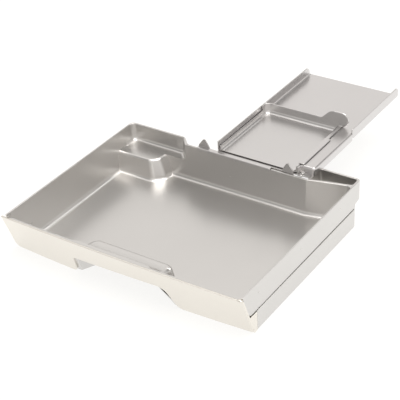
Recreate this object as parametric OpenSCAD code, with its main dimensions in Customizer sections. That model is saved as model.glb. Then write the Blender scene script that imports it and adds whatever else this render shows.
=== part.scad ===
// Pull-out collecting tray: a wide basin in a low carrier, with a leaning front
// panel, a hooked-on rear channel, its riveted extension and a lift-out pan.
// +X is to the right, +Y to the rear and +Z up. The origin is on the table under
// the middle of the tray.

/* [Basin] */
// Width of the basin and of the carrier below it
body_w = 240; // [230:1:290]
// From the front edge of the rim to the main back wall
basin_d = 174; // [150:1:210]
// Height of the rim above the table
rim_h = 43.5; // [36:0.5:55]
// Height of the basin floor above the table
floor_h = 8; // [6.5:0.5:11]
// Thickness of the basin's walls and floor
wall = 2; // [1.6:0.1:2.6]
// How far each side wall comes in from the rim to the floor
side_draft = 5; // [2:0.5:8]
// How far the back wall comes in from the rim to the floor
back_draft = 1.8; // [0.5:0.1:4]
// Radius of the basin's upright corners
corner_r = 5; // [4:0.5:8]

/* [Corner shelf and rear pocket] */
// Height of the shelf in the left rear corner
shelf_h = 27; // [22:0.5:32]
// Width of the shelf block along the left wall side
shelf_w = 49; // [40:1:70]
// Depth of the shelf block in front of the back wall
shelf_d = 18; // [14:0.5:30]
// How far the shelf reaches behind the back wall
shelf_back = 10; // [8:0.5:14]
// Length of the opening behind the back wall at the shelf
shelf_open = 59; // [52:1:80]
// Width of the pocket in the right rear corner
pocket_w = 39; // [30:1:55]
// How far the pocket reaches behind the back wall
pocket_back = 22; // [20:0.5:32]
// Height of the pocket's floor
pocket_h = 25; // [23:0.5:32]
// How far the slanted wall runs back across the pocket
slant_back = 8.7; // [4:0.1:10]

/* [Carrier] */
// Height of the carrier's skirt
skirt_h = 19; // [15:0.5:22]
// Thickness of the skirt and of the carrier's base
skirt_t = 2; // [1.5:0.1:2.5]
// How far the skirt reaches behind the back wall
skirt_back = 16; // [13:0.5:20]
// Gap between the carrier and the basin that lifts out of it
carrier_gap = 0.4; // [0.3:0.05:0.6]

/* [Front panel] */
// Height of the front panel
fascia_h = 41; // [32:0.5:43]
// How far the panel's top stands in front of its bottom edge
fascia_lean = 15.8; // [8:0.2:20]
// How far the middle of the panel bows forward
fascia_bow = 3; // [1:0.5:10]
// Thickness of the front panel
fascia_t = 1.6; // [1.2:0.1:2]
// How far the panel stands past the basin's left wall
fascia_over = 6; // [2:0.5:10]
// Height of the finger notch
notch_h = 21.5; // [14:0.5:23]
// Width of the finger notch at its top
notch_w = 94; // [70:1:110]
// How much wider each side of the notch is at its mouth
notch_flare = 5; // [3:0.5:12]
// Where the middle of the notch is, from the middle of the basin
notch_x = -4; // [-20:0.5:20]
// Width inside the finger recess, at its top
recess_w = 80; // [64:1:96]
// Where the middle of the finger recess is, from the middle of the basin
recess_x = -8; // [-20:0.5:20]
// How far the finger recess reaches back from the front edge
recess_d = 33; // [26:0.5:45]
// Height of the raised cover over the finger recess
recess_h = 26; // [23:0.5:30]

/* [Rear channel] */
// Width of the rear channel
channel_w = 98; // [80:1:120]
// How far the channel's right side reaches past the rear pocket's inner left side
channel_over = 1; // [0:0.5:4]
// Length of the near part of the channel
near_l = 84; // [70:1:110]
// Length of the extension behind it
far_l = 88; // [60:1:120]
// Height of the channel's walls above its floor
channel_wall_h = 9; // [7:0.5:14]
// Thickness of the channel's sheet
sheet = 1.2; // [1:0.1:1.5]
// Width of the raised ledge along the right side of the near part
ledge_w = 15; // [10:0.5:22]
// Height of that ledge above the channel's floor
ledge_h = 5; // [4:0.5:6]
// Length of the flat apron in front of the ledge
apron_l = 7; // [7:0.5:12]

/* [Lift-out pan] */
// Height of the pan's rear wall
dam_h = 10; // [8:0.5:14]
// Height of the finger tab at the right end of that wall
tab_h = 20; // [15:0.5:28]
// Width of the finger tab
tab_w = 28; // [20:1:36]
// Gap round the pan where it sits in the channel
pan_gap = 0.4; // [0.3:0.05:0.6]

/* [Hook bracket] */
// Length of the strip that hooks over the back wall
hook_l = 78; // [50:1:85]
// Width of each pointed locating ear
ear_w = 13.5; // [8:0.5:16]
// Height of the ears above the rim
ear_h = 9.5; // [6:0.5:14]

/* [Latch] */
// Diameter of the latch's pivot pin
latch_pin_d = 2.5; // [2:0.1:3.5]
// Radial running clearance of the latch on its pin
latch_fit = 0.05; // [0.02:0.01:0.1]
// Length of the latch's arm from its pin
latch_arm = 6.5; // [5:0.1:8]

/* [Hidden] */

fine = 64;                 // facets of small round shapes
wide = 720;                // facets of the panel's long bow
cut = 1;                   // how far a cutter runs past what it cuts
tight = 0.2;               // gap between pieces that are fixed together
rest_gap = 0.3;            // gap under a piece that rests on another and can be moved

half_w = body_w / 2;
back_y = basin_d / 2 - 13; // inner face of the main back wall, at the rim
front_y = back_y - basin_d;
back_out = back_y + wall;
shelf_y = back_y + shelf_back;
pocket_y = back_y + pocket_back;
skirt_y = back_y + skirt_back;
in_w = half_w - wall;      // inner face of a side wall, at the rim
seat_h = skirt_h + carrier_gap;
low_w = half_w - skirt_t - carrier_gap - 1; // half width of the basin inside the carrier
floor_under = floor_h - wall;

// The panel's bow is a cone round an upright axis far behind the tray.
fascia_w = body_w + fascia_over;
fascia_x = -fascia_over / 2;
bow_r = (pow(fascia_w / 2, 2) + pow(fascia_bow, 2)) / (2 * fascia_bow);
bow_y = front_y - fascia_bow + bow_r;
lean_per_h = fascia_lean / fascia_h;
front_foot = front_y + fascia_lean; // front face of the panel at the table, at its ends

notch_rear = front_y + recess_d;
recess_half = recess_w / 2;
recess_flare = 5.5;        // how much wider each side of the recess is at its foot
notch_half = notch_w / 2 + notch_flare;
carrier_front = front_foot + fascia_t + tight;

screw_d = 3;
screw_z = 9;
screw_head = 1.2;
screw_grip = 3;            // how far a screw goes into its post
basin_front = carrier_front + skirt_t + screw_head + carrier_gap;

// The slanted wall runs from the back wall to the right side.
pocket_x = half_w - pocket_w;
slant_x = pocket_x - 3;
slant_end = in_w - 4.5;

channel_r = pocket_x + channel_over;
channel_l = channel_r - channel_w;
channel_x = channel_r - channel_w / 2;
hook_gap = 0.4;                      // between the bracket and the back wall
bracket_y = back_out + hook_gap;     // front face of the bracket's upright plate
channel_y = bracket_y + sheet + tight;
near_end = channel_y + near_l;
far_end = near_end + far_l;
channel_z = rim_h - 0.5;             // underside of the channel's floor
pan_z = channel_z + sheet + rest_gap; // underside of the pan and of the extension
run_z = pan_z + sheet;               // what the pan and the extension carry slides on this
channel_top = run_z + channel_wall_h;
ledge_z = run_z + ledge_h;
ledge_x = channel_r - ledge_w;
pan_front = channel_y + 1;
tongue_l = 14;                       // how far the near part reaches under the extension
overlap_l = 8;                       // how far the extension's right wall overlaps the ledge
rivet_d = 2.4;
rivet_y = near_end + tongue_l / 2;
tab_r = channel_r - 7;
hook_x = channel_x - 30;
apron_r = pocket_x - wall - carrier_gap; // the apron stops short of the rear pocket
latch_x = channel_r - 12;
latch_y = channel_y + apron_l / 2;
latch_z = channel_z + sheet + rest_gap;
latch_t = 1.4;

// A block from one corner to the opposite one
module block(a, b) {
    translate(a)
        cube([b[0] - a[0], b[1] - a[1], b[2] - a[2]]);
}

// A flat outline in X and Z, drawn through from y0 to y1
module across(y0, y1) {
    translate([0, y1, 0])
        rotate([90, 0, 0])
            linear_extrude(y1 - y0)
                children();
}

// A flat outline in Y and Z, drawn through from x0 to x1
module along(x0, x1) {
    translate([x0, 0, 0])
        rotate([90, 0, 90])
            linear_extrude(x1 - x0)
                children();
}

// A flat outline with its corners rounded, made without offset
module rounded(x0, y0, x1, y1, r) {
    translate([x0 + r, y0])
        square([x1 - x0 - 2 * r, y1 - y0]);
    translate([x0, y0 + r])
        square([x1 - x0, y1 - y0 - 2 * r]);
    for (x = [x0 + r, x1 - r], y = [y0 + r, y1 - r])
        translate([x, y])
            circle(r, $fn = fine);
}

// Everything behind the panel's bowed and leaning face, moved back by inset
module behind_front(inset, z0, z1) {
    translate([fascia_x, bow_y, z0])
        cylinder(h = z1 - z0,
            r1 = bow_r - inset - fascia_lean + lean_per_h * z0,
            r2 = bow_r - inset - fascia_lean + lean_per_h * z1, $fn = wide);
}

// The carrier's outline, up to its rim, smaller by inset all round
module carrier_plan(inset, y0) {
    rounded(-half_w + inset, y0, half_w - inset, skirt_y - inset, corner_r - inset);
    translate([-half_w + inset, y0])
        square([body_w - 2 * inset, corner_r + cut]);
}

// The low outer tray that the basin sits in, open under the finger recess
module carrier() {
    color("gainsboro")
        difference() {
            intersection() {
                linear_extrude(skirt_h)
                    carrier_plan(0, front_y);
                behind_side_ends(0);
            }
            translate([0, 0, skirt_t])
                linear_extrude(skirt_h)
                    carrier_plan(skirt_t, carrier_front + skirt_t);
            // Between the side walls, in front of the front wall
            block([-half_w + skirt_t, front_y - cut, -cut],
                [half_w - skirt_t, carrier_front, skirt_h + cut]);
            block([notch_x - notch_half - wall, front_y - cut, -cut],
                [notch_x + notch_half + wall, notch_rear + wall + 1, skirt_h + cut]);
            for (x = screw_places())
                translate([x, carrier_front - cut, screw_z])
                    rotate([-90, 0, 0])
                        cylinder(h = skirt_t + 2 * cut, d = screw_d, $fn = fine);
        }
}

// Where the panel's screws are
function screw_places() = [-half_w + 18, -half_w + 42, half_w - 42, half_w - 18];

// What lies behind the leaning ends of the panel, for pieces that stop at them
module behind_side_ends(inset) {
    along(-half_w - cut, half_w + cut)
        polygon([
            [front_foot + fascia_t + tight + inset, -cut],
            [front_foot + fascia_t + tight + inset, 0],
            [front_y + fascia_t + tight + inset, fascia_h],
            [front_y + fascia_t + tight + inset, rim_h + cut],
            [pocket_y + 2 * wall + cut, rim_h + cut],
            [pocket_y + 2 * wall + cut, -cut]]);
}

// The notch in the lower edge of the front panel
module notch() {
    across(front_y - 2 * fascia_bow, front_y + fascia_lean + 2 * fascia_t) {
        translate([notch_x, 0])
            polygon([
                [-notch_half, -cut],
                [-notch_half, 0],
                [-notch_w / 2, notch_h],
                [notch_w / 2, notch_h],
                [notch_half, 0],
                [notch_half, -cut]]);
    }
}

// The leaning, bowed front panel with its finger notch and screw posts
module front_fascia() {
    color("linen")
        union() {
            difference() {
                intersection() {
                    difference() {
                        behind_front(0, 0, fascia_h);
                        behind_front(fascia_t, -cut, fascia_h + cut);
                    }
                    block([fascia_x - fascia_w / 2, front_y - 2 * fascia_bow, 0],
                        [fascia_x + fascia_w / 2, front_foot + 4 * fascia_t, fascia_h]);
                }
                notch();
            }
            for (x = screw_places())
                difference() {
                    translate([x, carrier_front - tight, screw_z])
                        rotate([90, 0, 0])
                            cylinder(h = 14, d = 2 * screw_d, $fn = fine);
                    difference() {
                        block([-body_w, front_y - 4 * fascia_bow, -cut], [body_w, front_foot, skirt_h]);
                        behind_front(fascia_t / 2, 0, skirt_h);
                    }
                    translate([x, carrier_front + cut, screw_z])
                        rotate([90, 0, 0])
                            cylinder(h = screw_grip + cut + 0.5, d = screw_d, $fn = fine);
                }
        }
}

// Screws through the carrier's front wall into the panel's posts
module fascia_screws() {
    shank = screw_grip + skirt_t;
    color("dimgray")
        for (x = screw_places())
            translate([x, carrier_front - screw_grip, screw_z])
                rotate([-90, 0, 0]) {
                    cylinder(h = shank, d = screw_d, $fn = fine);
                    translate([0, 0, shank])
                        cylinder(h = screw_head, d = 2 * screw_d, $fn = fine);
                }
}

// The basin's outline at the band, behind the back wall's outer face as well
module band_plan() {
    translate([-half_w, front_y - 2 * fascia_bow])
        square([body_w, back_out - front_y + 2 * fascia_bow - corner_r]);
    rounded(-half_w, front_y, half_w, back_out, corner_r);
    translate([half_w - pocket_w, front_y])
        square([pocket_w, back_out - front_y]);
    translate([-half_w, front_y])
        square([pocket_w, back_out - front_y]);
}

// Behind the back wall, the outside of the corner shelf
module shelf_outside() {
    polygon([
        [-half_w, back_y - shelf_d],
        [-half_w, shelf_y + wall - corner_r],
        for (a = [0:15:90])
            [-half_w + corner_r - corner_r * cos(a), shelf_y + wall - corner_r + corner_r * sin(a)],
        [-half_w + wall + shelf_open + 1, shelf_y + wall],
        [-half_w + wall + shelf_open + shelf_back + 1, back_out],
        [-half_w + wall + shelf_open + shelf_back + 1, back_y - shelf_d]]);
}

// The space above the corner shelf
module shelf_inside() {
    r = corner_r - wall;
    polygon([
        [-in_w, back_y - shelf_d],
        [-in_w, shelf_y - r],
        for (a = [0:15:90])
            [-in_w + r - r * cos(a), shelf_y - r + r * sin(a)],
        [-half_w + wall + shelf_open, shelf_y],
        [-half_w + wall + shelf_open + shelf_back, back_y],
        [-in_w + shelf_w, back_y - cut],
        [-in_w + shelf_w, back_y - shelf_d]]);
}

// The outside of the rear pocket, as far as y1
module pocket_outside(y1) {
    rounded(pocket_x - wall, back_y - 10, half_w, y1, corner_r - wall);
    translate([pocket_x - wall, back_y - 10])
        square([half_w - pocket_x + wall, 10 + corner_r]);
}

// The hollow of the rear pocket, behind the slanted wall
module pocket_inside() {
    x0 = pocket_x;
    y_at_x0 = back_y + wall + 2 + slant_back * (x0 - slant_x) / (slant_end - slant_x);
    polygon([
        [x0, y_at_x0],
        [x0, pocket_y],
        [in_w, pocket_y],
        [in_w, back_y + slant_back + wall],
        [slant_end, back_y + slant_back + wall + 0.4]]);
}

// The hollow of the basin above its floor
module basin_hollow() {
    intersection() {
        across(front_y - 2 * fascia_bow, pocket_y)
            polygon([
                [-in_w + side_draft, floor_h],
                [-in_w, rim_h],
                [-in_w, rim_h + cut],
                [in_w, rim_h + cut],
                [in_w, rim_h],
                [in_w - side_draft, floor_h]]);
        union() {
            along(-half_w, half_w)
                polygon([
                    [front_y - 2 * fascia_bow, floor_h],
                    [back_y - back_draft, floor_h],
                    [back_y, rim_h],
                    [back_y, rim_h + cut],
                    [front_y - 2 * fascia_bow, rim_h + cut]]);
            translate([0, 0, floor_h])
                linear_extrude(rim_h)
                    polygon([
                        [slant_x, back_y - 3 * back_draft],
                        [slant_x, back_y - back_draft / 2],
                        [slant_end, back_y + slant_back - back_draft / 2],
                        [in_w - 1, back_y + slant_back - 3],
                        [in_w, back_y + slant_back - 5],
                        [in_w, back_y - 3 * back_draft]]);
        }
        union() {
            behind_front(fascia_t + tight + carrier_gap + wall / 2, seat_h + wall, rim_h + 2 * cut);
            block([-half_w, basin_front + wall, 0], [half_w, pocket_y, seat_h + wall + cut]);
        }
    }
}

// The raised cover over the finger recess, grown by more in every direction
module recess_cover(more, z0) {
    intersection() {
        across(front_y - 2 * fascia_bow, notch_rear + 2 * wall)
            translate([recess_x, 0])
                polygon([
                    [-recess_half - recess_flare - more, z0],
                    [-recess_half - more, recess_h - wall + more],
                    [recess_half + more, recess_h - wall + more],
                    [recess_half + recess_flare + more, z0]]);
        along(-half_w, half_w)
            polygon([
                [front_y - 2 * fascia_bow, z0],
                [front_y - 2 * fascia_bow, recess_h + wall],
                [notch_rear - wall + more, recess_h + wall],
                [notch_rear - wall + more, recess_h - 2 * wall],
                [notch_rear + more, z0]]);
    }
}

// The shelf block that stands in the basin's left rear corner
module shelf_block(inset, z0, z1) {
    intersection() {
        translate([0, 0, z0])
            linear_extrude(z1 - z0)
                polygon([
                    [-half_w + inset, back_y - shelf_d - 6 + inset],
                    [-in_w + shelf_w - 4 - inset, back_y - shelf_d - 6 + inset],
                    [-in_w + shelf_w - inset, back_y - shelf_d - 2 + inset],
                    [-in_w + shelf_w + 6 - inset, back_y - 5],
                    [-in_w + shelf_w + 6 - inset, back_out - inset],
                    [-half_w + inset, back_out - inset]]);
        along(-half_w - cut, half_w)
            polygon([
                [back_y - shelf_d - 6 + inset, floor_under - cut],
                [back_y - shelf_d - 6 + inset, floor_h],
                [back_y - shelf_d + inset, shelf_h - inset],
                [back_out, shelf_h - inset],
                [back_out, floor_under - cut]]);
    }
}

// The basin: floor, walls, corner shelf, rear pocket and the cover of the finger recess
module basin() {
    color("silver")
        difference() {
            union() {
                difference() {
                    union() {
                        // Band above the carrier
                        intersection() {
                            translate([0, 0, seat_h])
                                linear_extrude(rim_h - seat_h)
                                    band_plan();
                            union() {
                                behind_front(fascia_t + tight + carrier_gap, seat_h, fascia_h - 0.6);
                                difference() {
                                    behind_side_ends(carrier_gap);
                                    block([-in_w, front_y - 2 * fascia_bow, fascia_h - 0.6],
                                        [in_w, front_y + 6, rim_h + 2 * cut]);
                                    block([-in_w, front_y - 2 * fascia_bow, -cut],
                                        [in_w, front_y + 3 * fascia_lean, seat_h]);
                                }
                            }
                        }
                        // Flange over the carrier's rear wall
                        translate([0, 0, seat_h])
                            linear_extrude(wall)
                                rounded(-half_w, back_y - 10, half_w, skirt_y - 2, corner_r - wall);
                        // Part inside the carrier
                        block([-low_w, basin_front, floor_under], [low_w, back_out, seat_h + cut]);
                        block([slant_x - wall, back_y, floor_under],
                            [low_w, skirt_y - skirt_t - carrier_gap - 1, seat_h + cut]);
                        // Rear pocket
                        translate([0, 0, pocket_h - wall])
                            linear_extrude(rim_h - pocket_h + wall)
                                pocket_outside(pocket_y + wall);
                        translate([0, 0, seat_h])
                            linear_extrude(pocket_h - wall - seat_h + cut)
                                pocket_outside(skirt_y - 2);
                        // Corner shelf behind the back wall
                        translate([0, 0, shelf_h - wall])
                            linear_extrude(rim_h - shelf_h + wall)
                                shelf_outside();
                    }
                    basin_hollow();
                }
                intersection() {
                    shelf_block(0, floor_under, shelf_h);
                    block([-low_w, front_y, floor_under], [half_w, back_out, rim_h]);
                }
                intersection() {
                    recess_cover(wall, floor_under);
                    union() {
                        behind_front(fascia_t + tight + carrier_gap, seat_h, rim_h);
                        block([-half_w, basin_front, 0], [half_w, 0, seat_h]);
                    }
                }
            }
            translate([0, 0, shelf_h])
                linear_extrude(rim_h)
                    shelf_inside();
            translate([0, 0, pocket_h])
                linear_extrude(rim_h)
                    pocket_inside();
            // Hollow under the shelf block
            intersection() {
                shelf_block(2 * wall, floor_under - cut, shelf_h + wall);
                block([-low_w + wall, front_y, 0], [half_w, back_y - back_draft - wall, rim_h]);
            }
            // Room for fingers under the cover, out through the front
            recess_cover(0, -cut);
        }
}

// Sheet bracket that hooks over the back wall, with two pointed ears
module hook_bracket() {
    y0 = bracket_y;
    y1 = bracket_y + sheet;
    lip_y = back_y - hook_gap - sheet;
    bend_z = rim_h + hook_gap;
    left = hook_x - hook_l / 2;
    right = channel_r - 18;
    drop = 14;             // how far the bracket hangs behind the back wall
    lip = 1.5;             // how far it hangs in front of it
    point = 1;             // half the width of an ear's blunt point
    color("lightgray")
        union() {
            block([left, y0, rim_h - drop], [right, y1, bend_z]);
            block([left, lip_y, bend_z], [left + hook_l, y1, bend_z + sheet]);
            block([left, lip_y, rim_h - lip], [left + hook_l, lip_y + sheet, bend_z + sheet]);
            // Ledge that carries the channel
            block([channel_l + 10, y0, channel_z - tight - sheet],
                [right - 10, y1 + drop, channel_z - tight]);
            for (x = [left, right - ear_w])
                across(y0, y1)
                    polygon([
                        [x, rim_h - 2 * lip],
                        [x, rim_h + lip],
                        [x + ear_w / 2 - point, rim_h + ear_h],
                        [x + ear_w / 2 + point, rim_h + ear_h],
                        [x + ear_w, rim_h + lip],
                        [x + ear_w, rim_h - 2 * lip]]);
        }
}

// Near part of the rear channel: floor, left wall and raised right ledge
module rear_channel() {
    ledge_y = channel_y + apron_l;
    color("lightgray")
        difference() {
            union() {
                block([channel_l, channel_y, channel_z],
                    [ledge_x + sheet, near_end + tongue_l, channel_z + sheet]);
                block([channel_l, channel_y, channel_z], [channel_l + sheet, near_end, channel_top]);
                block([ledge_x, channel_y, channel_z], [apron_r, ledge_y + sheet, channel_z + sheet]);
                block([ledge_x, ledge_y, channel_z], [ledge_x + sheet, near_end, ledge_z]);
                block([ledge_x, ledge_y, ledge_z - sheet], [channel_r, near_end, ledge_z]);
                block([ledge_x, ledge_y, channel_z], [apron_r, ledge_y + sheet, ledge_z]);
                block([apron_r - cut, ledge_y, rim_h + carrier_gap],
                    [channel_r, ledge_y + sheet, ledge_z]);
                block([channel_r - sheet, ledge_y, ledge_z - sheet],
                    [channel_r, near_end - overlap_l, channel_top]);
            }
            for (x = rivet_places())
                translate([x, rivet_y, channel_z - cut])
                    cylinder(h = sheet + 2 * cut, d = rivet_d, $fn = fine);
            translate([latch_x, latch_y, channel_z - cut])
                cylinder(h = sheet + 2 * cut, d = latch_pin_d, $fn = fine);
            // Room for the extension's right wall, which starts further forward
            block([channel_r - sheet - pan_gap, near_end - overlap_l, channel_z],
                [channel_r + cut, near_end + cut, channel_top]);
        }
}

// Where the extension is riveted to the near part
function rivet_places() = [channel_l + 22, channel_x - 8, ledge_x - 12];

// The far part of the channel, open at its rear end
module channel_extension() {
    color("lightgray")
        difference() {
            union() {
                block([channel_l, near_end + pan_gap, pan_z], [channel_r, far_end, run_z]);
                along(channel_l, channel_l + sheet)
                    side_outline(near_end + pan_gap, 0);
                along(channel_r - sheet, channel_r)
                    side_outline(near_end - overlap_l + pan_gap, 4);
            }
            for (x = rivet_places())
                translate([x, rivet_y, pan_z - cut])
                    cylinder(h = sheet + 2 * cut, d = rivet_d, $fn = fine);
        }
}

// The outline of a side wall of the extension from y0, with its top rear corner
// rounded and its lower front corner cut off by bevel
module side_outline(y0, bevel) {
    r = 6;
    polygon([
        [y0, pan_z + bevel],
        [y0, channel_top],
        for (a = [90:-15:0])
            [far_end - r + r * cos(a), channel_top - r + r * sin(a)],
        [far_end, pan_z],
        [y0 + bevel, pan_z]]);
}

// Three rivets that hold the extension on the near part's tongue
module extension_rivets() {
    color("gray")
        for (x = rivet_places())
            translate([x, rivet_y, channel_z]) {
                cylinder(h = run_z - channel_z, d = rivet_d, $fn = fine);
                translate([0, 0, -0.8])
                    cylinder(h = 0.8, d = 2 * rivet_d, $fn = fine);
                translate([0, 0, run_z - channel_z])
                    cylinder(h = 0.8, d = 2 * rivet_d, $fn = fine);
            }
}

// The pan that lifts out of the near part by the tab on its rear wall
module lift_out_pan() {
    x0 = channel_l + sheet + pan_gap;
    x1 = ledge_x - pan_gap;
    y1 = near_end - pan_gap;
    low = pan_z;
    rim = ledge_z + pan_gap;
    tab_z = run_z + tab_h;
    dam_z = run_z + dam_h;
    color("whitesmoke")
        union() {
            block([x0, pan_front, low], [x1, y1, run_z]);
            block([x0, pan_front, low], [x0 + sheet, y1, ledge_z - 1]);
            block([x1 - sheet, pan_front + apron_l + 2, low], [x1, y1, rim + sheet]);
            block([x1 - sheet, pan_front + apron_l + 2, rim], [x1 + 5, y1, rim + sheet]);
            across(y1 - sheet, y1)
                polygon([
                    [x0, low],
                    [x0, dam_z],
                    [tab_r - tab_w, dam_z],
                    for (a = [0:15:60])
                        [tab_r - tab_w + 6 * sin(a), dam_z + 6 - 6 * cos(a)],
                    for (a = [60:-15:0])
                        [tab_r - tab_w + 12 - 6 * sin(a), tab_z - 6 + 6 * cos(a)],
                    for (a = [90:-15:0])
                        [tab_r - 7 + 7 * cos(a), tab_z - 7 + 7 * sin(a)],
                    [tab_r, rim + 4],
                    [tab_r - 4, rim],
                    [x1, rim],
                    [x1, low]]);
        }
}

// The small lever that turns over the top edge of the back wall
module latch_lever() {
    half = 1.1;            // half the width of the arm
    foot = 3.4;            // how far the foot reaches sideways
    color("darkgray")
        difference() {
            union() {
                translate([latch_x, latch_y, latch_z])
                    cylinder(h = latch_t, d = latch_pin_d + 3.3, $fn = fine);
                block([latch_x - half, latch_y - latch_arm, latch_z],
                    [latch_x + half, latch_y, latch_z + latch_t]);
                block([latch_x - half, latch_y - latch_arm, latch_z],
                    [latch_x + foot, latch_y - latch_arm + 2 * half, latch_z + latch_t]);
            }
            translate([latch_x, latch_y, latch_z - cut])
                cylinder(h = latch_t + 2 * cut, d = latch_pin_d + 2 * latch_fit, $fn = fine);
        }
}

// The headed pin that the latch turns on
module latch_pin() {
    top = latch_z + latch_t + rest_gap;
    head = 0.9;
    tail = 0.7;
    color("white")
        translate([latch_x, latch_y, channel_z - tail]) {
            cylinder(h = top - channel_z + tail, d = latch_pin_d, $fn = fine);
            cylinder(h = tail, d = latch_pin_d + 1.5, $fn = fine);
            translate([0, 0, top - channel_z + tail])
                cylinder(h = head, d = latch_pin_d + 1.8, $fn = fine);
        }
}

carrier();
front_fascia();
fascia_screws();
basin();
hook_bracket();
rear_channel();
channel_extension();
extension_rivets();
lift_out_pan();
latch_lever();
latch_pin();
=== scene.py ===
# A pull-out collecting tray: a satin silver basin in a low carrier, a leaning front
# panel, and a sheet channel hooked over the back wall with a lift-out pan in it.
import math

import bmesh
import bpy
from mathutils import Matrix, Vector


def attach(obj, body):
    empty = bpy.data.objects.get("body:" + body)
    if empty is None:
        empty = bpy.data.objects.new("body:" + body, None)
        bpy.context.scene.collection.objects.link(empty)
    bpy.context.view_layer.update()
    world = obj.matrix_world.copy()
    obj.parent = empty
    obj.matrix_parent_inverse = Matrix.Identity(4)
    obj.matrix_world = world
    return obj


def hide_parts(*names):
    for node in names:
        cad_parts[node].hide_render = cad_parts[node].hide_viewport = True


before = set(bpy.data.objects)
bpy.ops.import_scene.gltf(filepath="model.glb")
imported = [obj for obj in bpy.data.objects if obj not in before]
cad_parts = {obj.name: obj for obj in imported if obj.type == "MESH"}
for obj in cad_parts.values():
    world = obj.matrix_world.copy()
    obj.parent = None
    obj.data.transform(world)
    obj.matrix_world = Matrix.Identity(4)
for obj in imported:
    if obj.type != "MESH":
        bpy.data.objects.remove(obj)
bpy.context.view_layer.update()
MM = 0.001

# ---------------------------------------------------------------------------
# Studio: a plain white table, one broad soft source overhead, and a pale room with
# two soft darker patches, one at the front left and one high up at the rear right.
# ---------------------------------------------------------------------------
scene = bpy.context.scene
scene.view_settings.view_transform = "Standard"
scene.view_settings.look = "None"

table_top = bmesh.new()
bmesh.ops.create_circle(table_top, cap_ends=True, segments=96, radius=3.0)
table_mesh = bpy.data.meshes.new("table_top")
table_top.to_mesh(table_mesh)
table_top.free()
table = bpy.data.objects.new("table_top", table_mesh)
scene.collection.objects.link(table)

white = bpy.data.materials.new("table_white")
white.use_nodes = True
paint = white.node_tree.nodes["Principled BSDF"]
paint.inputs["Base Color"].default_value = (0.20, 0.199, 0.197, 1)
paint.inputs["Roughness"].default_value = 0.9
paint.inputs["Specular IOR Level"].default_value = 0.1
paint.inputs["Emission Color"].default_value = (1.0, 0.995, 0.98, 1)
paint.inputs["Emission Strength"].default_value = 0.84
table_mesh.materials.append(white)

room = bpy.data.worlds.new("room")
scene.world = room
room.use_nodes = True
rn = room.node_tree.nodes
rl = room.node_tree.links
sky = rn["Background"]
sky.inputs["Strength"].default_value = 1.0
way = rn.new("ShaderNodeTexCoord")


def room_patch(direction, inner, outer, amount):
    """A soft round patch of the room's wall: amount inside inner degrees, 1 outside outer."""
    aim = Vector(direction).normalized()
    dot = rn.new("ShaderNodeVectorMath")
    dot.operation = "DOT_PRODUCT"
    dot.inputs[1].default_value = aim
    rl.new(way.outputs["Generated"], dot.inputs[0])
    span = rn.new("ShaderNodeMapRange")
    span.interpolation_type = "SMOOTHSTEP"
    span.inputs["From Min"].default_value = math.cos(math.radians(outer))
    span.inputs["From Max"].default_value = math.cos(math.radians(inner))
    span.inputs["To Min"].default_value = 1.0
    span.inputs["To Max"].default_value = amount
    rl.new(dot.outputs["Value"], span.inputs["Value"])
    return span.outputs["Result"]


level = None
for patch in (
    room_patch((-0.62, -0.60, 0.50), 12, 32, 0.30),
    room_patch((0.36, 0.62, 0.70), 8, 28, 0.16),
):
    if level is None:
        level = patch
        continue
    both = rn.new("ShaderNodeMath")
    both.operation = "MULTIPLY"
    rl.new(level, both.inputs[0])
    rl.new(patch, both.inputs[1])
    level = both.outputs[0]
tone = rn.new("ShaderNodeMix")
tone.data_type = "RGBA"
tone.inputs["A"].default_value = (0.0, 0.0, 0.0, 1)
tone.inputs["B"].default_value = (0.94, 0.915, 0.89, 1)
rl.new(level, tone.inputs["Factor"])
rl.new(tone.outputs["Result"], sky.inputs["Color"])


def soft_light(name, place, aim, size, power, colour):
    """A large soft box at place, turned towards aim."""
    box = bpy.data.lights.new(name, "AREA")
    box.shape = "RECTANGLE"
    box.size, box.size_y = size
    box.energy = power
    box.color = colour
    lamp = bpy.data.objects.new(name, box)
    lamp.location = place
    lamp.rotation_mode = "QUATERNION"
    lamp.rotation_quaternion = (Vector(aim) - Vector(place)).to_track_quat("-Z", "Y")
    scene.collection.objects.link(lamp)


soft_light("overhead_box", (0.3, 0.2, 1.7), (0, 0.05, 0), (1.6, 1.6), 19, (1, 0.99, 0.97))

eye = bpy.data.cameras.new("camera")
eye.sensor_width = 36
eye.lens = 109.42
camera = bpy.data.objects.new("camera", eye)
scene.collection.objects.link(camera)
heading, tilt, roll = math.radians(-35.151), math.radians(32.781), math.radians(3.303)
ahead = Vector((math.sin(heading) * math.cos(tilt), math.cos(heading) * math.cos(tilt),
                -math.sin(tilt)))
level_right = ahead.cross(Vector((0, 0, 1))).normalized()
level_down = ahead.cross(level_right)
right = math.cos(roll) * level_right + math.sin(roll) * level_down
down = -math.sin(roll) * level_right + math.cos(roll) * level_down
camera.rotation_mode = "QUATERNION"
camera.rotation_quaternion = Matrix((right, -down, -ahead)).transposed().to_quaternion()
camera.location = (0.5206, -0.7172, 0.6096)
eye.clip_start = 0.05
eye.clip_end = 20
scene.camera = camera

# ---------------------------------------------------------------------------
# Satin metallised finish, shared by the mouldings: a thin bright coat with a
# cloudy tone, a very fine grain, a few specks, and edges painted a little brighter
# as a painted highlight.
# ---------------------------------------------------------------------------
def new_group(name, inputs, outputs):
    """An empty shader node group with those sockets; returns it with its two end nodes."""
    group = bpy.data.node_groups.new(name, "ShaderNodeTree")
    for label, kind, value in inputs:
        socket = group.interface.new_socket(label, in_out="INPUT", socket_type=kind)
        if value is not None:
            socket.default_value = value
    for label, kind in outputs:
        group.interface.new_socket(label, in_out="OUTPUT", socket_type=kind)
    return group, group.nodes.new("NodeGroupInput"), group.nodes.new("NodeGroupOutput")


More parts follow.
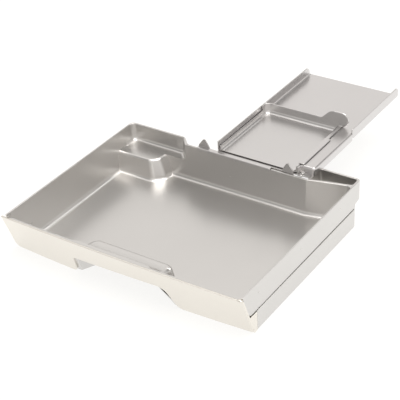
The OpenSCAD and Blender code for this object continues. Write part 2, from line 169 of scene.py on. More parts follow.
def mixed_colour(tree, factor, a, b):
    """A colour mix node; each of factor, a and b is a socket."""
    mix = tree.nodes.new("ShaderNodeMix")
    mix.data_type = "RGBA"
    tree.links.new(factor, mix.inputs["Factor"])
    tree.links.new(a, mix.inputs["A"])
    tree.links.new(b, mix.inputs["B"])
    return mix.outputs["Result"]


def spread(tree, value, low, high, to_low, to_high):
    """Maps a value from low..high to to_low..to_high, clamped."""
    span = tree.nodes.new("ShaderNodeMapRange")
    span.interpolation_type = "SMOOTHSTEP"
    span.inputs["From Min"].default_value = low
    span.inputs["From Max"].default_value = high
    span.inputs["To Min"].default_value = to_low
    span.inputs["To Max"].default_value = to_high
    tree.links.new(value, span.inputs["Value"])
    return span.outputs["Result"]


def clouds(tree, place, size, detail, rough):
    """Noise whose clouds are about size metres across."""
    noise = tree.nodes.new("ShaderNodeTexNoise")
    noise.inputs["Scale"].default_value = 1 / size
    noise.inputs["Detail"].default_value = detail
    noise.inputs["Roughness"].default_value = rough
    tree.links.new(place, noise.inputs["Vector"])
    return noise.outputs["Fac"]


skin, skin_in, skin_out = new_group(
    "metallised_skin",
    [("Vector", "NodeSocketVector", None), ("Clear", "NodeSocketColor", (0.8, 0.8, 0.8, 1)),
     ("Cloudy", "NodeSocketColor", (0.7, 0.7, 0.7, 1)), ("Sheen Low", "NodeSocketFloat", 0.26),
     ("Sheen High", "NodeSocketFloat", 0.34)],
    [("Colour", "NodeSocketColor"), ("Roughness", "NodeSocketFloat"), ("Height", "NodeSocketFloat")])
broad = clouds(skin, skin_in.outputs["Vector"], 0.09, 3, 0.55)
speckle = skin.nodes.new("ShaderNodeTexVoronoi")
speckle.inputs["Scale"].default_value = 90
skin.links.new(skin_in.outputs["Vector"], speckle.inputs["Vector"])
speck = spread(skin, speckle.outputs["Distance"], 0.030, 0.045, 1, 0)
lot = skin.nodes.new("ShaderNodeSeparateColor")
skin.links.new(speckle.outputs["Color"], lot.inputs["Color"])
rare = spread(skin, lot.outputs["Red"], 0.90, 0.91, 0, 1)
spot = skin.nodes.new("ShaderNodeMath")
spot.operation = "MULTIPLY"
skin.links.new(speck, spot.inputs[0])
skin.links.new(rare, spot.inputs[1])
cloudiness = spread(skin, broad, 0.2, 0.8, 0, 1)
plain = mixed_colour(skin, cloudiness, skin_in.outputs["Clear"], skin_in.outputs["Cloudy"])
light_spot = skin.nodes.new("ShaderNodeMix")
light_spot.data_type = "RGBA"
light_spot.inputs["B"].default_value = (0.97, 0.97, 0.96, 1)
skin.links.new(spot.outputs[0], light_spot.inputs["Factor"])
skin.links.new(plain, light_spot.inputs["A"])
skin.links.new(light_spot.outputs["Result"], skin_out.inputs["Colour"])
grain = clouds(skin, skin_in.outputs["Vector"], 0.0009, 2, 0.6)
sheen = skin.nodes.new("ShaderNodeMix")
dulling = spread(skin, clouds(skin, skin_in.outputs["Vector"], 0.05, 1, 0.4), 0.2, 0.8, 0, 1)
skin.links.new(dulling, sheen.inputs["Factor"])
skin.links.new(skin_in.outputs["Sheen Low"], sheen.inputs["A"])
skin.links.new(skin_in.outputs["Sheen High"], sheen.inputs["B"])
skin.links.new(sheen.outputs["Result"], skin_out.inputs["Roughness"])
rise = skin.nodes.new("ShaderNodeMath")
rise.operation = "MULTIPLY_ADD"
rise.inputs[1].default_value = 0.6
skin.links.new(grain, rise.inputs[0])
skin.links.new(spot.outputs[0], rise.inputs[2])
skin.links.new(rise.outputs[0], skin_out.inputs["Height"])

# Painted highlight: a bevel-normal mask paints creases and rims lighter and a little smoother, standing in
# for the bright highlight lines along the edges.
painted_edge_highlight, painted_edge_highlight_in, painted_edge_highlight_out = new_group(
    "painted_edge_highlights",
    [("Vector", "NodeSocketVector", None), ("Colour", "NodeSocketColor", (0.8, 0.8, 0.8, 1)),
     ("Bright", "NodeSocketColor", (0.95, 0.94, 0.92, 1)), ("Roughness", "NodeSocketFloat", 0.3),
     ("Amount", "NodeSocketFloat", 0.6)],
    [("Colour", "NodeSocketColor"), ("Roughness", "NodeSocketFloat")])
shape = painted_edge_highlight.nodes.new("ShaderNodeNewGeometry")
rounded = painted_edge_highlight.nodes.new("ShaderNodeBevel")
rounded.samples = 6
rounded.inputs["Radius"].default_value = 0.0007
turned = painted_edge_highlight.nodes.new("ShaderNodeVectorMath")
turned.operation = "DOT_PRODUCT"
painted_edge_highlight.links.new(shape.outputs["Normal"], turned.inputs[0])
painted_edge_highlight.links.new(rounded.outputs["Normal"], turned.inputs[1])
ridge = spread(painted_edge_highlight, turned.outputs["Value"], 0.86, 0.99, 1, 0)
patchy = spread(painted_edge_highlight, clouds(painted_edge_highlight, painted_edge_highlight_in.outputs["Vector"], 0.006, 3, 0.6), 0.35, 0.6, 0.3, 1)
highlight_mask = painted_edge_highlight.nodes.new("ShaderNodeMath")
highlight_mask.operation = "MULTIPLY"
painted_edge_highlight.links.new(ridge, highlight_mask.inputs[0])
painted_edge_highlight.links.new(patchy, highlight_mask.inputs[1])
highlight_strength = painted_edge_highlight.nodes.new("ShaderNodeMath")
highlight_strength.operation = "MULTIPLY"
painted_edge_highlight.links.new(highlight_mask.outputs[0], highlight_strength.inputs[0])
painted_edge_highlight.links.new(painted_edge_highlight_in.outputs["Amount"], highlight_strength.inputs[1])
brightened = mixed_colour(painted_edge_highlight, highlight_strength.outputs[0], painted_edge_highlight_in.outputs["Colour"], painted_edge_highlight_in.outputs["Bright"])
painted_edge_highlight.links.new(brightened, painted_edge_highlight_out.inputs["Colour"])
smoother = painted_edge_highlight.nodes.new("ShaderNodeMath")
smoother.operation = "MULTIPLY_ADD"
smoother.inputs[1].default_value = -0.08
painted_edge_highlight.links.new(highlight_strength.outputs[0], smoother.inputs[0])
painted_edge_highlight.links.new(painted_edge_highlight_in.outputs["Roughness"], smoother.inputs[2])
painted_edge_highlight.links.new(smoother.outputs[0], painted_edge_highlight_out.inputs["Roughness"])


def metallised(name, clear, cloudy, sheen_low, sheen_high, grain_depth, highlight_amount):
    """A metal finish made from the two groups above; the last argument sets the strength of the painted
    edge highlight.
    """
    finish = bpy.data.materials.new(name)
    finish.use_nodes = True
    tree = finish.node_tree
    shader = tree.nodes["Principled BSDF"]
    shader.inputs["Metallic"].default_value = 1.0
    place = tree.nodes.new("ShaderNodeTexCoord")
    coat = tree.nodes.new("ShaderNodeGroup")
    coat.node_tree = skin
    coat.inputs["Clear"].default_value = (*clear, 1)
    coat.inputs["Cloudy"].default_value = (*cloudy, 1)
    coat.inputs["Sheen Low"].default_value = sheen_low
    coat.inputs["Sheen High"].default_value = sheen_high
    edges = tree.nodes.new("ShaderNodeGroup")
    edges.node_tree = painted_edge_highlight
    # Strength of the painted edge highlight.
    edges.inputs["Amount"].default_value = highlight_amount
    bump = tree.nodes.new("ShaderNodeBump")
    bump.inputs["Strength"].default_value = 0.25
    bump.inputs["Distance"].default_value = grain_depth
    tree.links.new(place.outputs["Object"], coat.inputs["Vector"])
    tree.links.new(place.outputs["Object"], edges.inputs["Vector"])
    tree.links.new(coat.outputs["Colour"], edges.inputs["Colour"])
    tree.links.new(coat.outputs["Roughness"], edges.inputs["Roughness"])
    tree.links.new(coat.outputs["Height"], bump.inputs["Height"])
    tree.links.new(edges.outputs["Colour"], shader.inputs["Base Color"])
    tree.links.new(edges.outputs["Roughness"], shader.inputs["Roughness"])
    tree.links.new(bump.outputs["Normal"], shader.inputs["Normal"])
    return finish


satin_silver = metallised("satin_silver", (0.70, 0.687, 0.67), (0.675, 0.662, 0.645),
                          0.28, 0.31, 0.00002, 0.5)

# ---------------------------------------------------------------------------
# Carrier: the low outer tray, moulded and metallised. Its skirt shows all round
# below the basin's band, and its base is cut away under the finger recess.
# ---------------------------------------------------------------------------
def loft(low, z0, high, z1):
    """A closed block whose flat outline changes evenly from low at z0 to high at z1."""
    block = bmesh.new()
    base = block.faces.new([block.verts.new((x, y, z0)) for x, y in low])
    grown = bmesh.ops.extrude_face_region(block, geom=[base])["geom"]
    for v in grown:
        if isinstance(v, bmesh.types.BMVert):
            n = min(range(len(low)),
                    key=lambda i: (low[i][0] - v.co.x) ** 2 + (low[i][1] - v.co.y) ** 2)
            v.co = (*high[n], z1)
    bmesh.ops.recalc_face_normals(block, faces=block.faces)
    return block


def slab(x0, y0, z0, x1, y1, z1):
    """A plain block between two corners."""
    flat = [(x0, y0), (x1, y0), (x1, y1), (x0, y1)]
    return loft(flat, z0, flat, z1)


def trim(block, point, way):
    """Cuts a convex block off flat beyond the plane through point that faces way."""
    cut = bmesh.ops.bisect_plane(block, geom=block.verts[:] + block.edges[:] + block.faces[:],
                                 plane_co=point, plane_no=way, clear_outer=True)["geom_cut"]
    bmesh.ops.contextual_create(block, geom=[e for e in cut if isinstance(e, bmesh.types.BMEdge)])
    bmesh.ops.recalc_face_normals(block, faces=block.faces)


def carve(block, tool, how, tidy=False):
    """Joins two closed blocks (UNION) or cuts the second out of the first (DIFFERENCE)."""
    pair = []
    for shape_bm in (block, tool):
        bmesh.ops.triangulate(shape_bm, faces=shape_bm.faces)
        mesh = bpy.data.meshes.new("work")
        shape_bm.to_mesh(mesh)
        shape_bm.free()
        pair.append(bpy.data.objects.new("work", mesh))
        scene.collection.objects.link(pair[-1])
    knife = pair[0].modifiers.new("knife", "BOOLEAN")
    knife.operation = how
    knife.object = pair[1]
    knife.solver = "MANIFOLD"
    made = bmesh.new()
    made.from_object(pair[0], bpy.context.evaluated_depsgraph_get())
    for ob in pair:
        old = ob.data
        bpy.data.objects.remove(ob)
        bpy.data.meshes.remove(old)
    bmesh.ops.remove_doubles(made, verts=made.verts, dist=0.0004)
    if tidy:
        bmesh.ops.dissolve_limit(made, angle_limit=math.radians(0.05),
                                 verts=made.verts, edges=made.edges)
    return made


def soften(block, size, steps, pick, sharpest=12):
    """Rounds by size the creases that pick(middle, direction) chooses."""
    chosen = []
    for e in block.edges:
        if len(e.link_faces) != 2 or e.calc_face_angle() < math.radians(sharpest):
            continue
        a, b = e.verts[0].co, e.verts[1].co
        if pick((a + b) / 2, (b - a).normalized()):
            chosen.append(e)
    if chosen:
        bmesh.ops.bevel(block, geom=chosen, offset=size, offset_type="OFFSET", affect="EDGES",
                        segments=steps, profile=0.5, material=-1, clamp_overlap=False)


def flare(block, size, steps, depth):
    """Spreads the foot of a block in a hollow curve, then runs it straight on down by depth."""
    foot = min(block.faces, key=lambda f: f.calc_center_median().z)
    turn = [math.radians(90 * k / steps) for k in range(steps + 1)]
    for a, b in zip(turn, turn[1:]):
        bmesh.ops.inset_region(block, faces=[foot], use_boundary=True, use_even_offset=True,
                               thickness=-size * (math.cos(a) - math.cos(b)),
                               depth=size * (math.sin(b) - math.sin(a)))
    under = bmesh.ops.extrude_face_region(block, geom=[foot])["geom"]
    bmesh.ops.translate(block, vec=(0, 0, -depth),
                        verts=[v for v in under if isinstance(v, bmesh.types.BMVert)])
    bmesh.ops.delete(block, geom=[foot], context="FACES_ONLY")
    bmesh.ops.recalc_face_normals(block, faces=block.faces)


def finish_piece(block, name, body, nodes, material, fold=32):
    """Turns a block in millimetres into the finished piece that stands for those CAD nodes."""
    bmesh.ops.dissolve_degenerate(block, dist=0.004, edges=block.edges)
    bmesh.ops.triangulate(block, faces=[f for f in block.faces if len(f.verts) > 4])
    bmesh.ops.dissolve_degenerate(block, dist=0.004, edges=block.edges)
    bmesh.ops.scale(block, vec=(MM, MM, MM), verts=block.verts)
    bmesh.ops.recalc_face_normals(block, faces=block.faces)
    mesh = bpy.data.meshes.new(name)
    block.to_mesh(mesh)
    block.free()
    mesh.shade_smooth()
    mesh.set_sharp_from_angle(angle=math.radians(fold))
    mesh.materials.append(material)
    piece = bpy.data.objects.new(name, mesh)
    scene.collection.objects.link(piece)
    even = piece.modifiers.new("even_shading", "WEIGHTED_NORMAL")
    even.mode = "FACE_AREA"
    even.weight = 50
    even.keep_sharp = True
    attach(piece, body)
    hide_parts(*nodes)
    return piece


def upright(way):
    """Whether a crease runs up and down."""
    return abs(way.z) > 0.9


carrier = slab(-120, -82.4, 0, 120, 90, 19)
soften(carrier, 5, 6, lambda m, w: upright(w) and m.y > 0)
inside = slab(-118, -80.4, 2, 118, 88, 30)
soften(inside, 3, 5, lambda m, w: upright(w) and m.y > 0)
soften(inside, 2, 3, lambda m, w: m.z < 2.1)
carrier = carve(carrier, inside, "DIFFERENCE", True)
carrier = carve(carrier, slab(-58, -90, -5, 50, -64, 30), "DIFFERENCE", True)
for side in (-1, 1):
    x0, x1 = sorted((side * 117.8, side * 130))
    carrier = carve(carrier, slab(x0, -90, -5, x1, -79, 30), "DIFFERENCE", True)
soften(carrier, 1.2, 3, lambda m, w: m.z < 0.1 and not -60 < m.x < 52)
soften(carrier, 0.45, 2, lambda m, w: m.z > 18.9)
finish_piece(carrier, "carrier_tray", "carrier_body", ["carrier"], satin_silver)

# ---------------------------------------------------------------------------
# Front panel: a thin leaning moulding, a little bowed, with a finger notch in its
# lower edge and short cheeks that close on the carrier's skirt; a warmer coat.
# ---------------------------------------------------------------------------
warm_silver = metallised("warm_silver", (0.85, 0.815, 0.755), (0.83, 0.795, 0.735),
                         0.30, 0.34, 0.00002, 0.5)
panel_top = 41


def panel_face(x, z):
    """Where the panel's front face is, in y."""
    bow = 4.5 - 2.7 * z / panel_top
    return -100 - bow * (1 - ((x + 3) / 123) ** 2) + 15.8 * (1 - z / panel_top)


panel = bmesh.new()
outline = [((-126, 0), 5), ((-55, 0), 4), ((-52.5, 18.8), 3), ((41, 22), 6), ((50, 0), 4.5),
           ((120, 0), 4), ((120, panel_top), 1), ((-124.3, panel_top), 1)]
panel.faces.new([panel.verts.new((x, 0, z)) for (x, z), r in outline])
for (x, z), r in outline:
    corner = min(panel.verts, key=lambda v: (v.co.x - x) ** 2 + (v.co.z - z) ** 2)
    bmesh.ops.bevel(panel, geom=[corner], offset=r, offset_type="OFFSET", affect="VERTICES",
                    segments=6, profile=0.5, material=-1)
back = bmesh.ops.extrude_face_region(panel, geom=panel.faces[:])["geom"]
bmesh.ops.translate(panel, vec=(0, 1.6, 0),
                    verts=[v for v in back if isinstance(v, bmesh.types.BMVert)])
bmesh.ops.recalc_face_normals(panel, faces=panel.faces)
upright_cuts = [((k, 0, 0), (1, 0, 0)) for k in range(-112, 120, 10)]
level_cuts = [((0, 0, k), (0, 0, 1)) for k in (8, 18.7, 30)]
for place, way in upright_cuts + level_cuts:
    bmesh.ops.bisect_plane(panel, geom=panel.verts[:] + panel.edges[:] + panel.faces[:],
                           plane_co=place, plane_no=way)
soften(panel, 0.6, 3, lambda m, w: m.y < 0.1 and not (m.x > 119.9 and m.z < 18.7), 40)
for v in panel.verts:
    v.co.y += panel_face(v.co.x, v.co.z)
for side in (-1, 1):
    x0, x1 = sorted((side * 118, side * 120))
    cheek = loft([(x0, -83.4), (x1, -83.4), (x1, -79.2), (x0, -79.2)], 0.0,
                 [(x0, -90.8), (x1, -90.8), (x1, -79.2), (x0, -79.2)], 18.7)
    panel = carve(panel, cheek, "UNION", True)
soften(panel, 1.2, 4,
       lambda m, w: m.x > 119.9 and 3 < m.z < 18.7 and abs(w.z) > 0.8 and m.y < -82.5, 40)
bead = slab(115.2, -101.2, 39.4, 119.7, -97.6, 42.2)
soften(bead, 1.3, 4, lambda m, w: True)
panel = carve(panel, bead, "UNION")
finish_piece(panel, "front_panel", "carrier_body", ["front_fascia"], warm_silver)

dull_steel = metallised("dull_steel", (0.60, 0.59, 0.57), (0.52, 0.51, 0.50), 0.34, 0.44, 0.00003, 0.7)


def coat_kept_node(name, material):
    """Gives a fastener that keeps its own CAD shape its metal."""
    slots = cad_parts[name].data.materials
    slots.clear()
    slots.append(material)


coat_kept_node("fascia_screws", dull_steel)

# ---------------------------------------------------------------------------
# Basin: one deep moulding. Floor and walls run into each other in soft fillets;
# a shelf fills the left rear corner, a pocket stands behind the slanted wall at
# the right rear, and a raised cover makes room for fingers behind the panel.
# ---------------------------------------------------------------------------
floor_z, rim_z = 8, 43.5
over_z = 44.5             # the hollows are cut out to a little above the rim
band_x, band_z = 119.4, 19.4  # the band round the rim: its half width and its lower edge
cover_z, shelf_z = 26, 27


def wall_in(z):
    """How far a side wall stands out from the middle, inside, at height z."""
    return 118 - 5 * (rim_z - z) / (rim_z - floor_z)


def back_in(z):
    """The inner face of the back wall at height z."""
    return 74 - 1.8 * (rim_z - z) / (rim_z - floor_z)


def tub(z):
    """The hollow's main outline, with the slanted wall at the right rear."""
    side, back_y = wall_in(z), back_in(z)
    return [(-side, -76.8), (side, -76.8), (side, back_y + 0.245 * (side - 78)),
            (78, back_y), (-side, back_y)]


def lap(z):
    """The leaning front part of the hollow, behind the panel."""
    reach = wall_in(z)
    xs = [reach * (k / 12 - 1) for k in range(25)]
    return [(x, panel_face(x, z) + 3.4) for x in xs] + [(reach, -70), (-reach, -70)]


def corner_shelf(z):
    """The hollow over the shelf, which reaches behind the back wall."""
    return [(-wall_in(z), 50), (-50, 50), (-50, back_in(z)), (-59, 84 - 0.03 * (rim_z - z)),
            (-wall_in(z), 84 - 0.03 * (rim_z - z))]


def steep(way):
    """Whether a crease runs up and down, or nearly."""
    return abs(way.z) > 0.75


hollow = loft(tub(floor_z), floor_z, tub(over_z), over_z)
soften(hollow, 5, 7, lambda m, w: steep(w) and abs(m.x) > 100)
soften(hollow, 4, 6, lambda m, w: m.z < floor_z + 0.1)
shelf_air = loft(corner_shelf(shelf_z), shelf_z, corner_shelf(over_z), over_z)
soften(shelf_air, 5, 6, lambda m, w: steep(w) and m.x < -100 and m.y > 60)
soften(shelf_air, 3.5, 5, lambda m, w: m.z < 27.1 and (m.y > 70 or m.x < -100))
hollow = carve(hollow, loft(lap(21.4), 21.4, lap(over_z), over_z), "UNION")
hollow = carve(hollow, shelf_air, "UNION")

foot_rise = 4              # the radius of the hollow curve at the foot of shelf and cover
shelf_block = slab(-130, 40, floor_z + foot_rise, -40, 90, shelf_z)
for place, way in (((-90, 57, 27), (0, -1, 0.263)), ((-75.2, 60.6, 27), (0.682, -0.731, 0.383)),
                   ((-72.3, 68, 27), (1, -0.08, 0.437))):
    trim(shelf_block, place, way)
soften(shelf_block, 2.95, 8, lambda m, w: steep(w) and m.x > -100 and m.y < 80)
soften(shelf_block, 2.0, 5, lambda m, w: m.z > 26.9 and m.x > -129 and m.y < 89)
flare(shelf_block, foot_rise, 6, 4)
hollow = carve(hollow, shelf_block, "DIFFERENCE")

cover = slab(-80, -125, floor_z + foot_rise, 80, -50, over_z)
cove = bmesh.new()
bmesh.ops.create_cone(cove, cap_ends=True, segments=128, radius1=24, radius2=24, depth=300,
                      matrix=Matrix.Translation((0, -74, 50)) @ Matrix.Rotation(math.radians(90), 4, "Y"))
cover = carve(cover, slab(-90, -74, cover_z, 90, -40, 50), "DIFFERENCE", True)
cover = carve(cover, cove, "DIFFERENCE", True)
for place, way in (((-47.9, -79.5, 26), (-0.98, 0.196, 0.24)), ((-44.2, -70.8, 26), (-0.676, 0.737, 0.24)),
                   ((0, -68.6, 26), (0, 1, 0.11)), ((34.5, -79, 26), (1, 0.03, 0.22))):
    trim(cover, place, way)
soften(cover, 6.5, 8, lambda m, w: steep(w) and m.y > -90 and m.x > 0)
soften(cover, 3.6, 7, lambda m, w: 25.9 < m.z < 26.1 and m.y > -74.1 or
       abs(m.x + 9) > 30 and 25.9 < m.z < 43 and -98 < m.y < -74 and abs(w.x) < 0.5, 30)
flare(cover, foot_rise, 6, 4)
hollow = carve(hollow, cover, "DIFFERENCE")

body = slab(-band_x, 0, band_z, band_x, 76, rim_z)


def band_front(z):
    """The band's outline at height z, its front following the panel."""
    xs = [band_x * (k / 12 - 1) for k in range(25)]
    return [(x, panel_face(x, z) + 2.2) for x in xs] + [(band_x, 10), (-band_x, 10)]


body = carve(body, loft(band_front(band_z), band_z, band_front(rim_z), rim_z), "UNION")
soften(body, 3.5, 5, lambda m, w: m.z < 19.5 and m.y < -60)
body = carve(body, slab(-117.9, -120, 40.4, 117.9, -94, 50), "DIFFERENCE")
lower = slab(-116.6, -78.8, 6, 116.6, 76, 20.5)
soften(lower, 3, 4, lambda m, w: m.z < 6.1 or upright(w))
body = carve(body, lower, "UNION")
body = carve(body, slab(75, 60, 6, 116.6, 86.6, 20.5), "UNION")
rear_flange = slab(-band_x, 60, band_z, band_x, 88, 21.4)
soften(rear_flange, 4, 5, lambda m, w: upright(w) and m.y > 80)
body = carve(body, rear_flange, "UNION")
pocket_case = slab(78.6, 64, 23, band_x, 98, rim_z)
soften(pocket_case, 3, 5, lambda m, w: upright(w) and m.y > 90)
soften(pocket_case, 2, 4, lambda m, w: m.z < 23.1 and m.y > 90)
body = carve(body, pocket_case, "UNION")
body = carve(body, slab(78.6, 64, band_z, band_x, 88, 25), "UNION")
back_of_shelf = [(-band_x, 40), (-48, 40), (-48, 76), (-57.8, 86), (-band_x, 86)]
shelf_case = loft(back_of_shelf, 24.8, back_of_shelf, rim_z)
soften(shelf_case, 5, 6, lambda m, w: upright(w) and m.x < -119 and m.y > 80)
soften(shelf_case, 2.5, 4, lambda m, w: upright(w) and m.x > -60)
body = carve(body, shelf_case, "UNION")
recess_foot = [(-56, -85.6), (-53.8, -81), (-48.9, -74.6), (-44.9, -66.4), (34.9, -66.4),
               (40.8, -70.5), (48, -85.6)]
recess_top = [(-51, -96), (-49.2, -86), (-46.6, -73), (-41.8, -68.6), (27, -68.6),
              (31.5, -72), (33, -96)]
body = carve(body, loft(recess_foot, 0.6, recess_top, cover_z), "UNION")
body = carve(body, hollow, "DIFFERENCE")
fingers_foot = [(-57.5, -130), (-52.3, -86), (-47, -76), (-43, -69.4), (35, -69.4),
                (38.6, -73), (46.8, -86), (46.8, -130)]
fingers_top = [(-49, -130), (-47.4, -86), (-44.9, -73.6), (-40.9, -70.4), (26.6, -70.4),
               (29.7, -73), (34, -86), (34, -130)]
fingers = loft(fingers_foot, -2, fingers_top, 24.2)
soften(fingers, 2, 4, lambda m, w: m.z > -1 and m.y > -128)
body = carve(body, fingers, "DIFFERENCE")
pocket = loft([(81, 79.6), (116.4, 88.2), (116.4, 95.0), (81, 95.0)], 24.4,
              [(80.6, 77.2), (117.4, 86.2), (117.4, 96.2), (80.6, 96.2)], over_z)
soften(pocket, 2, 4, lambda m, w: m.z < 44)
body = carve(body, pocket, "DIFFERENCE")
soften(body, 0.5, 3, lambda m, w: m.z > rim_z - 0.05 and m.y > -90, 30)
soften(body, 0.5, 3, lambda m, w: abs(m.z - band_z) < 0.05 and abs(m.x) > 119, 30)
for y, z in ((-75.5, 19.5), (-43, 19.5), (-8, 19.5), (59, 19.5), (-74.7, 34.5), (-8, 34.5), (59.7, 34.5)):
    pip = bmesh.new()
    bmesh.ops.create_uvsphere(pip, u_segments=16, v_segments=10, radius=0.95)
    bmesh.ops.translate(pip, vec=(119.75, y, z), verts=pip.verts)
    body = carve(body, pip, "DIFFERENCE")
finish_piece(body, "basin_moulding", "basin_body", ["basin"], satin_silver)

# ---------------------------------------------------------------------------
# Hook bracket: one folded strip of sheet. It hangs on the back wall's rim, has a
# pointed ear at each end and carries the rear channel on a ledge behind.
# ---------------------------------------------------------------------------
def plate(points, along, start, thick):
    """A flat sheet with rounded corners; points are (across, z, corner), along is "x" or "y"."""
    sheet = bmesh.new()
    sheet.faces.new([sheet.verts.new((a, 0, z)) for a, z, r in points])
    for a, z, r in points:
        if r:
            corner = min(sheet.verts, key=lambda v: (v.co.x - a) ** 2 + (v.co.z - z) ** 2)
            bmesh.ops.bevel(sheet, geom=[corner], offset=r, offset_type="OFFSET", affect="VERTICES",
                            segments=6, profile=0.5, material=-1)
    grown = bmesh.ops.extrude_face_region(sheet, geom=sheet.faces[:])["geom"]
    bmesh.ops.translate(sheet, vec=(0, thick, 0),
                        verts=[v for v in grown if isinstance(v, bmesh.types.BMVert)])
    bmesh.ops.translate(sheet, vec=(0, start, 0), verts=sheet.verts)
    if along == "x":
        swap = Matrix(((0, 1, 0, 0), (1, 0, 0, 0), (0, 0, 1, 0), (0, 0, 0, 1)))
        bmesh.ops.transform(sheet, matrix=swap, verts=sheet.verts)
    bmesh.ops.recalc_face_normals(sheet, faces=sheet.faces)
    return sheet


sheet_silver = metallised("sheet_silver", (0.70, 0.685, 0.68), (0.675, 0.66, 0.655),
                          0.28, 0.31, 0.00002, 0.6)
sheet_t = 1.2
right_ear = [(64, 46.0, 0.8), (60.6, 49.4, 2), (58.8, 53, 1.3), (57.2, 53, 1.3), (54.6, 49.2, 2),
             (52, 44.4, 0)]
left_ear = [(-24, 44.4, 0), (-26.6, 49.2, 2), (-29.2, 53, 1.3), (-30.8, 53, 1.3), (-33.6, 49.4, 2),
            (-36, 46.0, 0.8)]
bracket = plate([(-36, 29.5, 0.8), (64, 29.5, 0.8)] + right_ear + left_ear, "y", 76.4, sheet_t)
strap = slab(-36, 72.4, 43.9, 42, 77.2, 45.0)
strap = carve(strap, slab(-36, 72.4, 42.0, 42, 73.5, 44.5), "UNION", True)
soften(strap, 0.9, 4, lambda m, w: abs(w.x) > 0.9 and m.z > 44.9)
bracket = carve(bracket, strap, "UNION")
bracket = carve(bracket, slab(-6, 76.5, 41.5, 54, 91.6, 42.7), "UNION")
finish_piece(bracket, "hook_bracket_sheet", "channel_body", ["hook_bracket"], sheet_silver)

# ---------------------------------------------------------------------------
# Rear channel: folded sheet, open at both ends. Its left side is a low wall and its
# right side a raised ledge with a rolled outer edge; a tongue runs on under the far part.
# ---------------------------------------------------------------------------
trough = slab(-16, 77.8, 43, 68.2, 161.8, 54.7)
soften(trough, 1.8, 4, lambda m, w: m.z < 43.1 and abs(w.y) > 0.9 and m.x < 0)
room_in = slab(-14.8, 60, 44.2, 67, 190, 60)
soften(room_in, 1.2, 4, lambda m, w: m.z < 44.3 and abs(w.y) > 0.9)
trough = carve(trough, room_in, "DIFFERENCE", True)
trough = carve(trough, slab(60, 60, 50.7, 90, 190, 60), "DIFFERENCE", True)
ledge = slab(67, 83, 43.2, 82, 153.9, 50.7)
soften(ledge, 3, 5, lambda m, w: upright(w) and m.x > 80 and m.y < 90)
soften(ledge, 2.2, 5, lambda m, w: m.z > 50.6 and (m.x > 75 or m.y < 84) and m.y < 153)
under = slab(60, 84.2, 40, 80.8, 170, 49.5)
soften(under, 1.5, 3, lambda m, w: m.z > 49.4 or upright(w))
ledge = carve(ledge, under, "DIFFERENCE", True)
trough = carve(trough, slab(-14.0, 150, 43, 66, 175.8, 44.2), "UNION")
trough = carve(trough, slab(66, 77.8, 43, 78.6, 84.2, 44.2), "UNION")
trough = carve(trough, ledge, "UNION")
trough = carve(trough, slab(66, 150, 49.5, 80.4, 161.8, 50.7), "UNION")
pin_x, pin_y = 70, 81.3
hole = bmesh.new()
bmesh.ops.create_cone(hole, cap_ends=True, segments=32, radius1=1.15, radius2=1.15, depth=20,
                      matrix=Matrix.Translation((pin_x, pin_y, 44)))
trough = carve(trough, hole, "DIFFERENCE")
soften(trough, 0.4, 3, lambda m, w: m.z > 54.6, 60)
finish_piece(trough, "rear_channel_sheet", "channel_body", ["rear_channel"], sheet_silver)

# ---------------------------------------------------------------------------
# Channel extension: a second folded sheet, a little higher, riveted over the tongue.
# Its walls are rounded off at the far end; the right one starts further forward.
# ---------------------------------------------------------------------------
run = slab(-16, 162.1, 44.5, 82, 249.8, 45.7)
left_side = plate([(162.1, 44.5, 0), (162.1, 54.7, 1.5), (246.5, 54.7, 4.5), (249.8, 44.5, 2)],
                  "x", -16, sheet_t)
right_side = plate([(154.2, 44.5, 4), (154.2, 54.7, 1.0), (249.8, 54.7, 5), (249.8, 44.5, 2)],
                   "x", 80.8, sheet_t)
for side in (left_side, right_side):
    soften(side, 0.45, 3, lambda m, w: m.z > 46, 60)
    run = carve(run, side, "UNION", True)
soften(run, 1.6, 4, lambda m, w: (abs(m.z - 45.7) < 0.05 and abs(w.y) > 0.9 and
                                  (-15 < m.x < -14 or 80 < m.x < 81)), 60)
soften(run, 0.9, 3, lambda m, w: m.z < 44.6 and abs(w.y) > 0.9, 60)
finish_piece(run, "channel_extension_sheet", "channel_body", ["channel_extension"],
             sheet_silver)
coat_kept_node("extension_rivets", dull_steel)

# ---------------------------------------------------------------------------
# Lift-out pan: a shallow pressing that lies in the channel. Its end wall is a dam
# with a raised finger tab, and its right edge rests on the channel's ledge.
# ---------------------------------------------------------------------------
pan = slab(-14.4, 78.8, 44.5, 66.6, 161.4, 55.9)
soften(pan, 6, 7, lambda m, w: upright(w) and m.x < 0 and m.y > 100)
soften(pan, 1.2, 3, lambda m, w: m.z < 44.6)
scoop = slab(-13.2, 60, 45.7, 65.4, 160.2, 60)
soften(scoop, 5, 7, lambda m, w: upright(w) and m.x < 0 and m.y > 100)
soften(scoop, 2.5, 4, lambda m, w: upright(w) and m.x > 0 and m.y > 100)
soften(scoop, 3.6, 7, lambda m, w: m.z < 45.8)
pan = carve(pan, scoop, "DIFFERENCE", True)
pan = carve(pan, slab(-20, 60, 50.0, -8.9, 154, 70), "DIFFERENCE", True)
pan = carve(pan, slab(60, 60, 51.1, 80, 159.7, 70), "DIFFERENCE", True)
rim = slab(64.6, 84, 51.1, 70.4, 134, 52.1)
soften(rim, 1.2, 3, lambda m, w: upright(w))
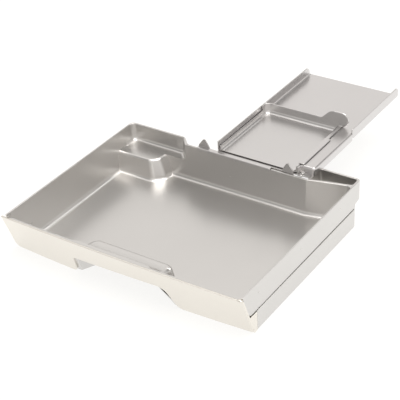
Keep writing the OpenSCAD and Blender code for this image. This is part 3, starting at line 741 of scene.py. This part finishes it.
rim_rear = slab(64.6, 120, 51.1, 68.2, 161.0, 52.1)
pan = carve(pan, rim, "UNION")
pan = carve(pan, rim_rear, "UNION")
dam = plate([(44.5, 50.5, 0), (44.5, 55.9, 0), (46.5, 55.9, 3.5), (55.5, 65.6, 4.5), (75, 65.6, 7),
             (75, 55.2, 4), (70.5, 50.9, 2), (60, 50.9, 0)], "y", 159.6, 1.8)
soften(dam, 0.85, 4, lambda m, w: abs(w.y) < 0.5 and (m.z > 56.1 or m.x > 66.7), 60)
pan = carve(pan, dam, "UNION")
soften(pan, 0.4, 3, lambda m, w: any(abs(m.z - z) < 0.02 for z in (55.9, 52.1, 50)), 60)
pan_silver = metallised("pan_silver", (0.71, 0.697, 0.69), (0.685, 0.672, 0.665), 0.28, 0.31, 0.00002, 0.7)
finish_piece(pan, "lift_out_pan_pressing", "pan_body", ["lift_out_pan"], pan_silver)

# ---------------------------------------------------------------------------
# Latch: a little stamped lever that turns on a headed pin at the channel's front
# corner; its foot swings over the pan's edge. Brighter, harder metal.
# ---------------------------------------------------------------------------
bright_steel = metallised("bright_steel", (0.86, 0.85, 0.84), (0.80, 0.79, 0.78), 0.14, 0.22, 0.00002, 0.8)
lever = bmesh.new()
bmesh.ops.create_cone(lever, cap_ends=True, segments=48, radius1=2.9, radius2=2.9, depth=1.3,
                      matrix=Matrix.Translation((pin_x, pin_y, 45.2)))
lever = carve(lever, slab(68.9, 74.8, 44.55, 71.1, pin_y, 45.85), "UNION")
lever = carve(lever, slab(68.9, 74.8, 44.55, 73.4, 77.0, 45.85), "UNION")
soften(lever, 0.3, 3, lambda m, w: abs(w.z) < 0.5 and m.z > 45.8, 60)
bore = bmesh.new()
bmesh.ops.create_cone(bore, cap_ends=True, segments=32, radius1=1.4, radius2=1.4, depth=6,
                      matrix=Matrix.Translation((pin_x, pin_y, 45.2)))
lever = carve(lever, bore, "DIFFERENCE")
finish_piece(lever, "latch_lever_stamping", "latch_body", ["latch_lever"], bright_steel)
coat_kept_node("latch_pin", bright_steel)
